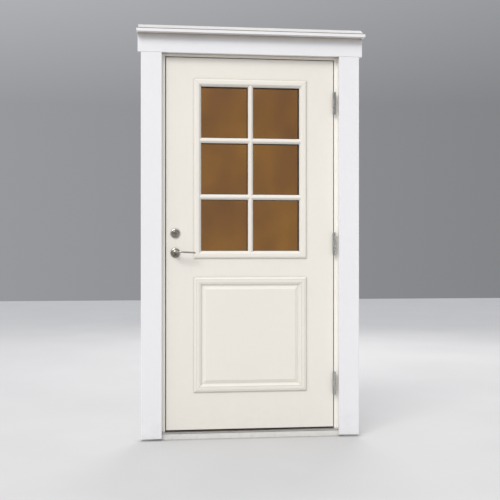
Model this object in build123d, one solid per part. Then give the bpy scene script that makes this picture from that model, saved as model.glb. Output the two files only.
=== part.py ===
from build123d import *
from math import cos, radians, sin
import os

# A panelled front door in its frame. It opens outwards and is hinged on the right, seen from
# outside. Millimetres: X runs to the right seen from outside, Y into the house and Z up.
# The origin is the middle of the threshold's underside, halfway through the frame's depth.

# Leaf
leaf_thickness = 60.0
leaf_side_margin = 150.0
leaf_top_margin = 114.0
leaf_bottom_margin = 202.0
panel_to_glazing = 103.0
skin_thickness = 6.0
leaf_arris = 2.5
stile_width = 100.0
middle_rail_height = 120.0
bottom_rail_height = 140.0

# Frame, threshold and the gaps round the leaf
frame_depth = 115.0
jamb_thickness = 31.5
head_thickness = 28.0
side_gap = 4.5
head_gap = 4.0
threshold_gap = 5.0
stop_overlap = 15.0
seal_gap = 3.5
threshold_height = 41.0
threshold_plate_thickness = 2.0
threshold_plate_fall = 4.0
threshold_plate_nose = 4.0
threshold_slope_run = 32.0
threshold_quirk_height = 4.5
threshold_quirk_depth = 6.0
frame_arris = 2.0

# Seal in the stop's groove
seal_width = 8.0
seal_clearance = 0.3
seal_stem_width = 3.0
seal_stem_depth = 6.0
groove_clearance = 0.2

# Trim on the outside of the frame
jamb_margin = 19.5
head_margin = 13.0
lining_depth = 20.0
lining_width = 22.0
casing_width = 111.0
casing_thickness = 22.0
casing_bottom = 8.5
casing_arris = 2.0
casing_rebate = 2.0
casing_rebate_play = 1.0
trim_clearance = 0.4
header_height = 100.0
header_overhang = 17.0
cap_overhang = 7.0
cap_projection = 45.0
cap_lip = 15.5
cap_rise = 29.5
cap_end_inset = 10.0
cap_nose_setback = 4.0
cap_nose_arris = 1.0
cap_quirk_height = 4.5
cap_quirk_depth = 10.0
cap_groove = 5.0
cap_groove_setback = 10.0

# Glazing
glazing_width = 618.0
glazing_height = 971.0
glazing_moulding_width = 40.0
glass_thickness = 4.0
glass_cover = 14.0
glass_clearance = 3.0
glass_recess = 10.0
glass_panes = 3
spacer_width = 11.0
gasket_thickness = 1.5
gasket_reveal = 1.2
bar_width = 28.0
bar_nose = 7.0
bar_height = 6.0
pane_columns = 2
pane_rows = 3

# Moulding round the glass
moulding_height = 10.0
moulding_quirk = 2.5
moulding_round = 11.0
moulding_belly = 2.0
glazing_bevel = 14.0
glazing_belly = 1.4
glazing_lip = 4.0
bar_belly = 1.0

# Lower panel
panel_width = 618.0
panel_height = 622.0
panel_moulding_width = 49.0
panel_band_rise = 1.5
panel_band_start = 14.0
panel_ogee_width = 21.0
panel_ogee_belly = 1.8
panel_ogee_foot = 1.2
field_height = 8.0
field_lip = 1.5
field_bevel = 16.0

# Hinges
hinge_from_bottom = 242.0
hinge_from_top = 236.0
hinge_axis_aside = 3.5
hinge_axis_forward = 20.0
knuckle_radius = 7.25
knuckle_height = 39.0
hinge_ring_height = 0.9
hinge_ring_radius = 7.6
hinge_ring_play = 0.3
pin_radius = 4.0
pin_clearance = 0.3
pin_cap_radius = 6.6
pin_cap_height = 4.0
pin_fit = 0.05
hinge_plate_depth = 32.0
hinge_plate_thickness = 2.5
hinge_screw_spacing = 36.0
hinge_screws_per_plate = 3
knuckles_per_hinge = 3

# Lock and its furniture
lock_backset = 50.0
handle_height = 957.0
cylinder_above_handle = 105.0
forend_length = 210.0
forend_width = 22.0
forend_thickness = 3.0
forend_screw_inset = 9.0
lock_case_depth = 85.0
lock_case_height = 150.0
lock_case_thickness = 14.0
lock_case_wall = 1.2
lock_block_margin = 35.0
lock_clearance = 0.4
bolt_thickness = 10.0
latch_above_handle = 49.0
latch_height = 18.0
latch_throw = 12.0
latch_tip = 3.0
dead_bolt_below_cylinder = 14.0
dead_bolt_height = 22.0
dead_bolt_throw = 20.0
strike_width = 25.0
strike_thickness = 3.0
strike_play = 2.0
pocket_depth = 20.0
rose_radius = 26.0
rose_height = 8.0
rose_top_radius = 19.0
rose_rim = 2.6
rose_belly = 1.4
ring_radius = 19.2
ring_width = 2.6
ring_depth = 1.4
neck_radius = 10.0
neck_hole_clearance = 0.3
spindle_size = 8.0
spindle_clearance = 0.1
spindle_reach = 24.0
furniture_seat_gap = 0.5
hub_radius = 17.5
hub_rim = 2.0
hub_height = 13.5
hub_belly = 2.2
lever_reach = 106.0
lever_stand = 51.0
lever_rise = 4.0
lever_neck_radius = 9.5
lever_root = 1.0
lever_half_height = 4.3
lever_half_depth = 6.6
lever_bend_reach = 24.0
lever_bend_shares = (0.3, 0.6, 1.0)
lever_grip_stations = ((0.3, 0.98), (0.6, 1.0), (0.86, 1.08), (0.97, 0.86), (1.0, 0.4))
cylinder_radius = 15.5
cylinder_stand = 9.5
cylinder_arris = 1.5
cylinder_ring_radius = 11.0
cylinder_ring_width = 1.8
cylinder_ring_depth = 0.9
plug_radius = 7.5
keyway_width = 1.8
keyway_height = 8.5
keyway_depth = 6.0
turn_length = 36.0
turn_width = 12.0
turn_stand = 26.0
turn_neck_stand = 6.0
turn_arris = 2.5
turn_tail_size = 6.0
plug_clearance = 0.3
plug_stand = 0.6
plug_tail_width = 6.0
plug_tail_root = 1.0
plug_tail_short = 1.0
tail_hole_radius = 6.5
follower_radius = 9.0
follower_stand = 1.0
follower_arm_reach = 14.0
follower_arm_width = 6.0
follower_arm_play = 1.0
bolt_head_depth = 7.0
bolt_bar_width = 10.0
bolt_bar_thickness = 4.0
bolt_tail_thickness = 5.5
bolt_side_gap = 1.5
cam_reach = 10.0
cam_width = 10.0
cam_thickness = 2.6
cam_play = 0.3
cam_pin_radius = 2.5
cam_pin_play = 0.8
cam_pin_length = 6.2

# Screws and fixing holes
screw_head_radius = 4.2
screw_head_height = 2.4
screw_shank_radius = 2.2
screw_length = 24.0
fixing_hole_radius = 7.0
fixing_from_bottom = 150.0
fixing_below_lock = 175.5
fixing_above_lock = 194.5
fixing_from_top = 130.0

# How far a cutter runs past the face that it cuts
overrun = 1.0

# Places worked out from the sizes above
leaf_width = glazing_width + 2 * leaf_side_margin
leaf_height = (leaf_bottom_margin + panel_height + panel_to_glazing + glazing_height
               + leaf_top_margin)
frame_front = -frame_depth / 2
frame_back = frame_depth / 2
leaf_front = frame_front
leaf_back = leaf_front + leaf_thickness
leaf_middle = (leaf_front + leaf_back) / 2
leaf_edge = leaf_width / 2
leaf_bottom = threshold_height + threshold_gap
leaf_top = leaf_bottom + leaf_height
jamb_inner = leaf_edge + side_gap
jamb_outer = jamb_inner + jamb_thickness
head_underside = leaf_top + head_gap
frame_top = head_underside + head_thickness
stop_face = leaf_back + seal_gap
stop_inner = leaf_edge - stop_overlap
stop_underside = leaf_top - stop_overlap
stop_top = leaf_bottom + stop_overlap
casing_back = frame_front - lining_depth
casing_front = casing_back - casing_thickness
casing_inner = jamb_inner + jamb_margin
casing_outer = casing_inner + casing_width
casing_top = head_underside + head_margin
header_top = casing_top + header_height
lining_front = casing_back - casing_rebate
lining_outer = casing_inner + lining_width
lining_top = casing_top + lining_width
panel_centre = leaf_bottom + leaf_bottom_margin + panel_height / 2
glazing_centre = leaf_top - leaf_top_margin - glazing_height / 2
sight_width = glazing_width - 2 * glazing_moulding_width
sight_height = glazing_height - 2 * glazing_moulding_width
glass_width = sight_width + 2 * glass_cover
glass_height = sight_height + 2 * glass_cover
aperture_width = glass_width + 2 * glass_clearance
aperture_height = glass_height + 2 * glass_clearance
gasket_front = -glass_recess + gasket_thickness
hinge_x = leaf_edge + hinge_axis_aside
hinge_y = leaf_front - hinge_axis_forward
hinge_heights = (leaf_bottom + hinge_from_bottom, (leaf_bottom + leaf_top) / 2,
                 leaf_top - hinge_from_top)
hinge_plate_height = (knuckles_per_hinge * knuckle_height
                      + (knuckles_per_hinge - 1) * (hinge_ring_height + 2 * hinge_ring_play))
spindle_x = -leaf_edge + lock_backset
handle_z = leaf_bottom + handle_height
cylinder_z = handle_z + cylinder_above_handle
lock_z = (handle_z + cylinder_z) / 2
latch_z = handle_z + latch_above_handle
dead_bolt_z = cylinder_z - dead_bolt_below_cylinder
fixing_heights = (fixing_from_bottom, lock_z - fixing_below_lock, lock_z + fixing_above_lock,
                  frame_top - fixing_from_top)
forend_back = -leaf_edge + forend_thickness
spindle_socket = spindle_size + 2 * spindle_clearance
case_side = (leaf_thickness - lock_case_thickness) / 2
rose_seat = rose_height + neck_hole_clearance
half_mirror = Plane.XZ.offset(-leaf_middle)


def block(x0, x1, y0, y1, z0, z1):
    """A box between two opposite corners."""
    size = Box(abs(x1 - x0), abs(y1 - y0), abs(z1 - z0))
    return Pos((x0 + x1) / 2, (y0 + y1) / 2, (z0 + z1) / 2) * size


def save(name, *solids):
    """Writes one node, made of one solid or of several separate ones."""
    loose = [solid for shape in solids for solid in shape.solids()]
    whole = loose[0] if len(loose) == 1 else Compound(children=loose)
    export_step(whole, f"parts/{name}.step")


def inner_twin(shape):
    """The same piece on the room side of the leaf."""
    return mirror(shape, about=half_mirror)


def both_sides(half):
    """The piece and its mirror image at the other side of the frame."""
    return half, mirror(half, about=Plane.YZ)


def on_outer_face(x, z, shape):
    """Takes a shape modelled face up onto the leaf's outer face."""
    return Pos(x, leaf_front, z) * Rot(90, 0, 0) * shape


def mitred_frame(width, height, member_width, profile, reach=40.0):
    """Four members of one profile with mitred ends, face up, round the origin.

    The profile's x runs inwards from the outer edge and its y stands up from the face.
    """
    members = []
    for turn in range(4):
        run, across = (width, height) if turn % 2 == 0 else (height, width)
        strip = extrude(Plane.YZ * (Pos(-across / 2, 0) * profile), amount=run / 2, both=True)
        outline = Polyline((-run / 2, -across / 2), (run / 2, -across / 2),
                           (run / 2 - member_width, -across / 2 + member_width),
                           (-run / 2 + member_width, -across / 2 + member_width), close=True)
        wedge = extrude(make_face(outline), amount=reach, both=True)
        members.append(Rot(0, 0, 90 * turn) * (strip & wedge))
    return members


def cut(shape, cutters):
    """The shape without each of the cutters."""
    for cutter in cutters:
        shape = shape - cutter
    return shape


def screw(x, y, z, turn):
    """A countersunk screw whose flat head faces the turned Z axis."""
    head = Pos(0, 0, -screw_head_height / 2) * Cone(screw_shank_radius, screw_head_radius,
                                                    screw_head_height)
    shank_length = screw_length - screw_head_height
    shank = Cylinder(screw_shank_radius, shank_length)
    shank = Pos(0, 0, -screw_head_height - shank_length / 2) * shank
    return Pos(x, y, z) * turn * (head + shank)


def seal_profile():
    """Section of the seal: a stem for the groove and a rounded head that meets the leaf."""
    middle = seal_width / 2
    top = seal_gap - seal_clearance
    head = make_face([Line((0, 0), (seal_width, 0)),
                      ThreePointArc((seal_width, 0), (middle, top), (0, 0))])
    stem = Pos(middle, -seal_stem_depth / 2) * Rectangle(seal_stem_width, seal_stem_depth)
    return head + stem


def seal_frame(profile):
    """The seal's run round the doorway, on the face of the stop."""
    inset = (stop_overlap - seal_width) / 2
    width = 2 * (leaf_edge - inset)
    height = leaf_height - 2 * inset
    members = mitred_frame(width, height, seal_width, profile)
    place = Pos(0, stop_face, (leaf_bottom + leaf_top) / 2) * Rot(90, 0, 0)
    return [place * member for member in members]


def make_seals():
    return seal_frame(seal_profile())


def seal_grooves():
    """Cutters for the groove that holds the seal's stem."""
    wide = seal_stem_width + 2 * groove_clearance
    deep = seal_stem_depth + groove_clearance
    slot = Pos(seal_width / 2, -deep / 2) * Rectangle(wide, deep)
    return seal_frame(slot)


def threshold_line(drop):
    """The threshold's sloped and level top line, from the front to the stop."""
    front = threshold_height - threshold_plate_fall - drop
    level = threshold_height - drop
    slope_end = casing_back + threshold_slope_run
    return [(casing_back, front), (slope_end, level), (stop_face, level)]


def make_threshold():
    """A hardwood sill with a raised stop, and a quirk under the wear plate's nose."""
    top = threshold_line(threshold_plate_thickness)
    points = [(casing_back, 0)] + top + [(stop_face, stop_top), (frame_back, stop_top),
                                         (frame_back, 0)]
    section = make_face(Polyline(*points, close=True))
    sill = extrude(Plane.YZ * section, amount=jamb_outer, both=True)
    quirk_top = threshold_line(0)[0][1] - threshold_plate_nose
    quirk = block(-casing_inner, casing_inner, casing_back - overrun,
                  casing_back + threshold_quirk_depth, quirk_top - threshold_quirk_height,
                  quirk_top)
    return cut(sill, [quirk, *seal_grooves()])


def make_threshold_plate():
    """A bent metal wear plate with a drip nose, notched round the jambs."""
    under = threshold_line(threshold_plate_thickness)
    over = threshold_line(0)
    front = casing_back - threshold_plate_thickness
    nose_top = over[0][1]
    nose_bottom = nose_top - threshold_plate_nose
    points = [(casing_back, nose_bottom), (front, nose_bottom), (front, nose_top)]
    points += over + list(reversed(under))
    section = make_face(Polyline(*points, close=True))
    plate = extrude(Plane.YZ * section, amount=casing_inner - trim_clearance, both=True)
    notch = block(jamb_inner - trim_clearance, casing_inner, frame_front - trim_clearance,
                  stop_face, 0, threshold_height)
    stop = block(-jamb_outer, jamb_outer, stop_face - trim_clearance, stop_face, 0, stop_top)
    return cut(plate, [*both_sides(notch), stop])


def fixing_holes():
    """Cutters for the holes that take the frame screws, on both sides."""
    holes = []
    for z in fixing_heights:
        hole = Cylinder(fixing_hole_radius, 4 * jamb_thickness)
        hole = Pos(jamb_inner, leaf_middle, z) * Rot(0, 90, 0) * hole
        holes += both_sides(hole)
    return holes


def jamb_blank(threshold):
    """The right-hand jamb: a rebated post that stands on the threshold."""
    post = block(jamb_inner, jamb_outer, frame_front, frame_back, 0, frame_top)
    stop = block(stop_inner, jamb_inner, stop_face, frame_back, 0, frame_top)
    post = post + stop
    arris = post.edges().filter_by(Axis.Z).filter_by(
        lambda edge: edge.center().X < jamb_inner + overrun
        and abs(edge.center().Y) > frame_back - overrun)
    post = fillet(arris, frame_arris)
    under = block(0, 2 * jamb_outer, 2 * frame_front, 2 * frame_back, -overrun,
                  threshold_height / 2)
    return cut(post, [threshold, under, *seal_grooves(), *fixing_holes()])


def hinge_recesses(x0, x1):
    """Cutters that let the hinge plates into an edge."""
    return [block(x0, x1, leaf_front - overrun, leaf_front + hinge_plate_depth,
                  z - hinge_plate_height / 2, z + hinge_plate_height / 2)
            for z in hinge_heights]


def strike_pockets(x0, x1, play):
    """Cutters behind the latch and the dead bolt, between two depths."""
    wide = bolt_thickness / 2 + play
    return [block(x0, x1, leaf_middle - wide, leaf_middle + wide,
                  z - tall / 2 - play, z + tall / 2 + play)
            for z, tall in ((latch_z, latch_height), (dead_bolt_z, dead_bolt_height))]


def strike_outline(x0, x1):
    """The strike plate's outline, between two depths."""
    return block(x0, x1, leaf_middle - strike_width / 2, leaf_middle + strike_width / 2,
                 lock_z - forend_length / 2, lock_z + forend_length / 2)


def end_screws(x, turn):
    """The two screws at the ends of the strike or of the forend."""
    reach = forend_length / 2 - forend_screw_inset
    return [screw(x, leaf_middle, lock_z + side * reach, turn) for side in (-1, 1)]


def make_strike_screws():
    return end_screws(-jamb_inner, Rot(0, 90, 0))


def make_strike_plate():
    plate = strike_outline(-jamb_inner - strike_thickness, -jamb_inner)
    holes = strike_pockets(-jamb_inner - 2 * strike_thickness, -jamb_inner + overrun,
                           strike_play)
    return cut(plate, holes + make_strike_screws())


def make_jamb_lock_side(blank):
    """The jamb at the lock, with the strike's recess and two pockets."""
    jamb = mirror(blank, about=Plane.YZ)
    recess = strike_outline(-jamb_inner - strike_thickness, -jamb_inner + overrun)
    pockets = strike_pockets(-jamb_inner - pocket_depth, -jamb_inner + overrun, strike_play)
    return cut(jamb, [recess, *pockets, *make_strike_screws()])


def make_jamb_hinge_side(blank):
    """The jamb at the hinges, with the plates' recesses."""
    recesses = hinge_recesses(jamb_inner - overrun, jamb_inner + hinge_plate_thickness)
    return cut(blank, recesses + make_hinge_frame_screws())


def make_frame_head(jambs):
    """The head between the jambs, with the same rebate."""
    top = block(-jamb_inner, jamb_inner, frame_front, frame_back, head_underside, frame_top)
    stop = block(-jamb_inner, jamb_inner, stop_face, frame_back, stop_underside,
                 head_underside)
    return cut(top + stop, [*jambs, *seal_grooves()])


def make_lining_side(threshold):
    """The strip between the right-hand jamb and its casing."""
    strip = block(casing_inner, lining_outer, lining_front, frame_front,
                  threshold_height / 2, lining_top)
    return strip - threshold


def make_lining_head():
    return block(-casing_inner, casing_inner, lining_front, frame_front, casing_top,
                 lining_top)


def soften_front(board, radius):
    """Rounds the edges of a board's front face."""
    front = board.faces().sort_by(Axis.Y)[0]
    return fillet(front.edges(), radius)


def make_casing_side():
    """The right-hand casing board, rebated over the lining's edge."""
    board = block(casing_inner, casing_outer, casing_front, casing_back, casing_bottom,
                  casing_top)
    rebate = block(casing_inner - overrun, lining_outer + casing_rebate_play, lining_front,
                   casing_back, casing_bottom, casing_top)
    return soften_front(board, casing_arris) - rebate


def make_casing_header():
    """The board across the casings' tops, rebated over the linings."""
    reach = casing_outer + header_overhang
    board = block(-reach, reach, casing_front, casing_back, casing_top, header_top)
    rebate_reach = lining_outer + casing_rebate_play
    rebate = block(-rebate_reach, rebate_reach, lining_front, casing_back,
                   casing_top - overrun, lining_top + casing_rebate_play)
    return soften_front(board, casing_arris) - rebate


def make_drip_cap():
    """A cap over the header: a lip with a drip groove, and a weathered slope stepped back."""
    front = casing_front - cap_projection
    half_groove = cap_groove / 2
    groove = front + cap_groove_setback
    lip = make_face([
        Line((casing_back, 0), (groove + half_groove, 0)),
        RadiusArc((groove + half_groove, 0), (groove - half_groove, 0), -half_groove),
        Line((groove - half_groove, 0), (front, 0)),
        Line((front, 0), (front, cap_lip)),
        Line((front, cap_lip), (casing_back, cap_lip)),
        Line((casing_back, cap_lip), (casing_back, 0))])
    neck = front + cap_quirk_depth
    nose = (front + cap_nose_setback, cap_lip + cap_quirk_height)
    slope = make_face(Polyline((neck, cap_lip), (neck, nose[1]), nose,
                               (casing_back, nose[1] + cap_rise), (casing_back, cap_lip),
                               close=True))
    reach = casing_outer + header_overhang + cap_overhang
    cap = extrude(Plane.YZ * lip, amount=reach, both=True)
    weathering = extrude(Plane.YZ * slope, amount=reach - cap_end_inset, both=True)
    nose_edge = weathering.edges().filter_by(Axis.X).sort_by(Axis.Y)[0]
    cap += fillet(nose_edge, cap_nose_arris)
    lip_edges = cap.edges().filter_by(Axis.X).filter_by(
        lambda edge: edge.center().Y < front + overrun)
    return Pos(0, 0, header_top) * fillet(lip_edges, casing_arris)


def leaf_part(x0, x1, z0, z1):
    """A piece of the leaf's core, between the two skins."""
    return block(x0, x1, leaf_front + skin_thickness, leaf_back - skin_thickness, z0, z1)


def furniture_holes():
    """Cutters through the leaf for the handle's spindle and the lock's cylinder."""
    places = ((handle_z, neck_radius + 2 * neck_hole_clearance),
              (cylinder_z, cylinder_radius + neck_hole_clearance))
    return [Pos(spindle_x, leaf_middle, z) * Rot(90, 0, 0) * Cylinder(radius, 2 * leaf_thickness)
            for z, radius in places]


def aperture():
    """Cutter for the hole that holds the glass unit."""
    half_width = aperture_width / 2
    half_height = aperture_height / 2
    return block(-half_width, half_width, leaf_front - overrun, leaf_back + overrun,
                 glazing_centre - half_height, glazing_centre + half_height)


def leaf_hinge_recesses():
    return hinge_recesses(leaf_edge - hinge_plate_thickness, leaf_edge + overrun)


def make_skin_outer():
    """The weather face of the leaf, with softened edges all round."""
    board = block(-leaf_edge, leaf_edge, leaf_front, leaf_front + skin_thickness,
                  leaf_bottom, leaf_top)
    board = soften_front(board, leaf_arris)
    return cut(board, [aperture(), *furniture_holes(), *leaf_hinge_recesses()])


def make_skin_inner():
    """The room face of the leaf."""
    board = block(-leaf_edge, leaf_edge, leaf_front, leaf_front + skin_thickness,
                  leaf_bottom, leaf_top)
    board = soften_front(board, leaf_arris)
    return inner_twin(cut(board, [aperture(), *furniture_holes()]))


def lock_case_outline(play):
    """The space that the lock's case takes in the stile."""
    half_height = lock_case_height / 2 + play
    half_depth = lock_case_thickness / 2 + play
    return block(forend_back, forend_back + lock_case_depth + play,
                 leaf_middle - half_depth, leaf_middle + half_depth,
                 lock_z - half_height, lock_z + half_height)


def forend_outline():
    return block(-leaf_edge, forend_back, leaf_middle - forend_width / 2,
                 leaf_middle + forend_width / 2, lock_z - forend_length / 2,
                 lock_z + forend_length / 2)


def make_stile_lock_side():
    """The stile in two lengths, with the block between them that takes the lock."""
    reach = forend_length / 2 + lock_block_margin
    ends = (leaf_bottom, lock_z - reach, lock_z + reach, leaf_top)
    lower, lock_block, upper = (leaf_part(-leaf_edge, -leaf_edge + stile_width, low, high)
                                for low, high in zip(ends, ends[1:]))
    cutters = [forend_outline(), lock_case_outline(lock_clearance), *furniture_holes()]
    return [lower, cut(lock_block, cutters + make_forend_screws()), upper]


def make_stile_hinge_side():
    stile = leaf_part(leaf_edge - stile_width, leaf_edge, leaf_bottom, leaf_top)
    return cut(stile, leaf_hinge_recesses() + make_hinge_leaf_screws())


def make_rails():
    """The top, middle and bottom rails, between the stiles."""
    reach = leaf_edge - stile_width
    aperture_bottom = glazing_centre - aperture_height / 2
    aperture_top = glazing_centre + aperture_height / 2
    top = leaf_part(-reach, reach, aperture_top, leaf_top)
    middle = leaf_part(-reach, reach, aperture_bottom - middle_rail_height, aperture_bottom)
    bottom = leaf_part(-reach, reach, leaf_bottom, leaf_bottom + bottom_rail_height)
    return top, middle, bottom


def make_aperture_posts():
    """The posts that fill the width between the glass and the stiles."""
    post = leaf_part(aperture_width / 2, leaf_edge - stile_width,
                     glazing_centre - aperture_height / 2, glazing_centre + aperture_height / 2)
    return both_sides(post)


def make_insulation():
    """The foam core behind the lower panel."""
    reach = leaf_edge - stile_width
    core_top = glazing_centre - aperture_height / 2 - middle_rail_height
    return leaf_part(-reach, reach, leaf_bottom + bottom_rail_height, core_top)


def glass_pitch():
    """Distance from one pane's face to the next one's."""
    return (leaf_thickness - 2 * glass_recess - glass_thickness) / (glass_panes - 1)


def make_panes():
    """The panes of the sealed unit, from the weather side inwards."""
    pane = Box(glass_width, glass_height, glass_thickness)
    first = -glass_recess - glass_thickness / 2
    return [on_outer_face(0, glazing_centre, Pos(0, 0, first - index * glass_pitch()) * pane)
            for index in range(glass_panes)]


def make_spacers():
    """The frames that hold the panes apart along their edges."""
    gap = glass_pitch() - glass_thickness
    ring = Rectangle(glass_width, glass_height)
    ring -= Rectangle(glass_width - 2 * spacer_width, glass_height - 2 * spacer_width)
    spacer = extrude(ring, amount=gap / 2, both=True)
    first = -glass_recess - glass_thickness - gap / 2
    return [on_outer_face(0, glazing_centre, Pos(0, 0, first - index * glass_pitch()) * spacer)
            for index in range(glass_panes - 1)]


def pane_size(count, length):
    """Clear size between bars, for one direction."""
    return (length - (count - 1) * bar_width) / count


def bar_places(count, length):
    """Centres of the bars along one direction."""
    pitch = pane_size(count, length) + bar_width
    return [(index + 1) * pitch - (length + bar_width) / 2 for index in range(count - 1)]


def make_gasket():
    """The dark tape under the moulding and the bars, seen as a thin line round each pane."""
    sheet = Rectangle(glass_width, glass_height)
    wide = pane_size(pane_columns, sight_width)
    tall = pane_size(pane_rows, sight_height)
    hole = Rectangle(wide - 2 * gasket_reveal, tall - 2 * gasket_reveal)
    for place in GridLocations(wide + bar_width, tall + bar_width, pane_columns, pane_rows):
        sheet -= place * hole
    tape = extrude(sheet, amount=gasket_thickness)
    return on_outer_face(0, glazing_centre, Pos(0, 0, -glass_recess) * tape)


def glazing_profile():
    """Section of the moulding round the glass: a rounded back, a flat and a bevel."""
    inner = glazing_moulding_width
    seat = (glazing_width - aperture_width) / 2 + trim_clearance
    crown = (inner - glazing_bevel, moulding_height)
    lip = (inner, gasket_front + glazing_lip)
    shoulder = (moulding_round, moulding_height)
    return make_face([
        Line((0, 0), (0, moulding_quirk)),
        SagittaArc((0, moulding_quirk), shoulder, moulding_belly),
        Line(shoulder, crown),
        SagittaArc(crown, lip, glazing_belly),
        Line(lip, (inner, gasket_front)),
        Line((inner, gasket_front), (seat, gasket_front)),
        Line((seat, gasket_front), (seat, 0)),
        Line((seat, 0), (0, 0))])


def bar_profile():
    """Section of a glazing bar: bevelled both ways up to a narrow nose."""
    half = bar_width / 2
    foot = gasket_front + glazing_lip
    nose = bar_nose / 2
    return make_face([
        Line((-half, gasket_front), (-half, foot)),
        SagittaArc((-half, foot), (-nose, bar_height), bar_belly),
        Line((-nose, bar_height), (nose, bar_height)),
        SagittaArc((nose, bar_height), (half, foot), bar_belly),
        Line((half, foot), (half, gasket_front)),
        Line((half, gasket_front), (-half, gasket_front))])


def make_glazing_moulding():
    members = mitred_frame(glazing_width, glazing_height, glazing_moulding_width,
                           glazing_profile())
    return [on_outer_face(0, glazing_centre, member) for member in members]


def bars_along(turn, places, length):
    """Bars of one direction, long enough to be coped to the moulding's bevel."""
    bar = extrude(Plane.YZ * bar_profile(), amount=length / 2 + glazing_bevel, both=True)
    return [on_outer_face(0, glazing_centre, Rot(0, 0, turn) * Pos(0, place, 0) * bar)
            for place in places]


def make_bars(moulding):
    """The upright bar, and the cross bars coped to it."""
    uprights = bars_along(90, bar_places(pane_columns, sight_width), sight_height)
    uprights = [cut(bar, moulding) for bar in uprights]
    crossing = bars_along(0, bar_places(pane_rows, sight_height), sight_width)
    crossing = [cut(bar, [*moulding, *uprights]) for bar in crossing]
    return uprights, crossing


def panel_moulding_profile():
    """Section of the panel moulding: rounded back, raised band and an ogee to the field."""
    inner = panel_moulding_width
    top = moulding_height + panel_band_rise
    band_end = inner - panel_ogee_width
    shoulder = (moulding_round, moulding_height)
    fall = moulding_height - panel_ogee_foot
    middle = (band_end + panel_ogee_width / 2, panel_ogee_foot + fall / 2)
    foot = (inner, panel_ogee_foot)
    return make_face([
        Line((0, 0), (0, moulding_quirk)),
        SagittaArc((0, moulding_quirk), shoulder, moulding_belly),
        Line(shoulder, (panel_band_start, moulding_height)),
        Line((panel_band_start, moulding_height), (panel_band_start, top)),
        Line((panel_band_start, top), (band_end, top)),
        Line((band_end, top), (band_end, moulding_height)),
        SagittaArc((band_end, moulding_height), middle, panel_ogee_belly),
        SagittaArc(middle, foot, -panel_ogee_belly),
        Line(foot, (inner, 0)),
        Line((inner, 0), (0, 0))])


def make_panel_moulding():
    members = mitred_frame(panel_width, panel_height, panel_moulding_width,
                           panel_moulding_profile())
    return [on_outer_face(0, panel_centre, member) for member in members]


def make_raised_field():
    """The raised board inside the panel moulding, with a bevel on its four sides."""
    wide = panel_width - 2 * panel_moulding_width
    tall = panel_height - 2 * panel_moulding_width
    base = extrude(Rectangle(wide, tall), amount=field_lip)
    edge = Pos(0, 0, field_lip) * Rectangle(wide, tall)
    top = Pos(0, 0, field_height) * Rectangle(wide - 2 * field_bevel, tall - 2 * field_bevel)
    crown = loft([edge, top], ruled=True)
    return on_outer_face(0, panel_centre, base + crown)


def knuckle_pitch():
    return knuckle_height + hinge_ring_height + 2 * hinge_ring_play


def knuckle(z, places, bore):
    """Knuckles of one hinge plate, bored for the pin."""
    tube = Cylinder(knuckle_radius, knuckle_height) - Cylinder(bore, knuckle_height)
    return [Pos(hinge_x, hinge_y, z + place * knuckle_pitch()) * tube for place in places]


def hinge_half(z, x0, x1, places, bore, screws):
    """One plate of a hinge with its own knuckles."""
    plate = block(x0, x1, leaf_front, leaf_front + hinge_plate_depth,
                  z - hinge_plate_height / 2, z + hinge_plate_height / 2)
    hollow = Pos(hinge_x, hinge_y, z) * Cylinder(bore, 2 * hinge_plate_height)
    for place in places:
        middle = z + place * knuckle_pitch()
        neck = block(x0, x1, hinge_y, leaf_front, middle - knuckle_height / 2,
                     middle + knuckle_height / 2)
        plate += neck - hollow
    for barrel in knuckle(z, places, bore):
        plate += barrel
    return cut(plate, screws)


def hinge_screws(x, turn):
    """The rows of screws in the hinge plates of one side."""
    middle = (hinge_screws_per_plate - 1) / 2
    return [screw(x, leaf_front + hinge_plate_depth / 2,
                  z + (index - middle) * hinge_screw_spacing, turn)
            for z in hinge_heights for index in range(hinge_screws_per_plate)]


def make_hinge_frame_screws():
    return hinge_screws(jamb_inner, Rot(0, -90, 0))


def make_hinge_leaf_screws():
    return hinge_screws(leaf_edge, Rot(0, 90, 0))


def make_hinge_frame_plates():
    screws = make_hinge_frame_screws()
    return [hinge_half(z, jamb_inner, jamb_inner + hinge_plate_thickness, (-1, 1),
                       pin_radius + pin_fit, screws) for z in hinge_heights]


def make_hinge_leaf_plates():
    screws = make_hinge_leaf_screws()
    return [hinge_half(z, leaf_edge - hinge_plate_thickness, leaf_edge, (0,),
                       pin_radius + pin_clearance, screws) for z in hinge_heights]


def make_hinge_rings():
    """The bearing rings between the knuckles."""
    ring = Cylinder(hinge_ring_radius, hinge_ring_height)
    ring -= Cylinder(pin_radius + pin_clearance, hinge_ring_height)
    return [Pos(hinge_x, hinge_y, z + side * knuckle_pitch() / 2) * ring
            for z in hinge_heights for side in (-1, 1)]


def make_hinge_pins():
    """The pins, with a domed cap at each end."""
    half = knuckle_pitch() + knuckle_height / 2
    sphere_radius = (pin_cap_radius ** 2 + pin_cap_height ** 2) / (2 * pin_cap_height)
    dome = make_face([Line((0, 0), (pin_cap_radius, 0)),
                      RadiusArc((pin_cap_radius, 0), (0, pin_cap_height), -sphere_radius),
                      Line((0, pin_cap_height), (0, 0))])
    cap = revolve(Plane.XZ * dome, axis=Axis.Z)
    pin = Cylinder(pin_radius, 2 * half) + Pos(0, 0, half) * cap
    pin += Pos(0, 0, -half) * Rot(180, 0, 0) * cap
    return [Pos(hinge_x, hinge_y, z) * pin for z in hinge_heights]


def make_forend_screws():
    return end_screws(-leaf_edge, Rot(0, -90, 0))


def make_lock_forend():
    """The lock's face plate, flush with the leaf's edge."""
    holes = strike_pockets(-leaf_edge - overrun, forend_back + overrun, lock_clearance)
    return cut(forend_outline(), holes + make_forend_screws())


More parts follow.
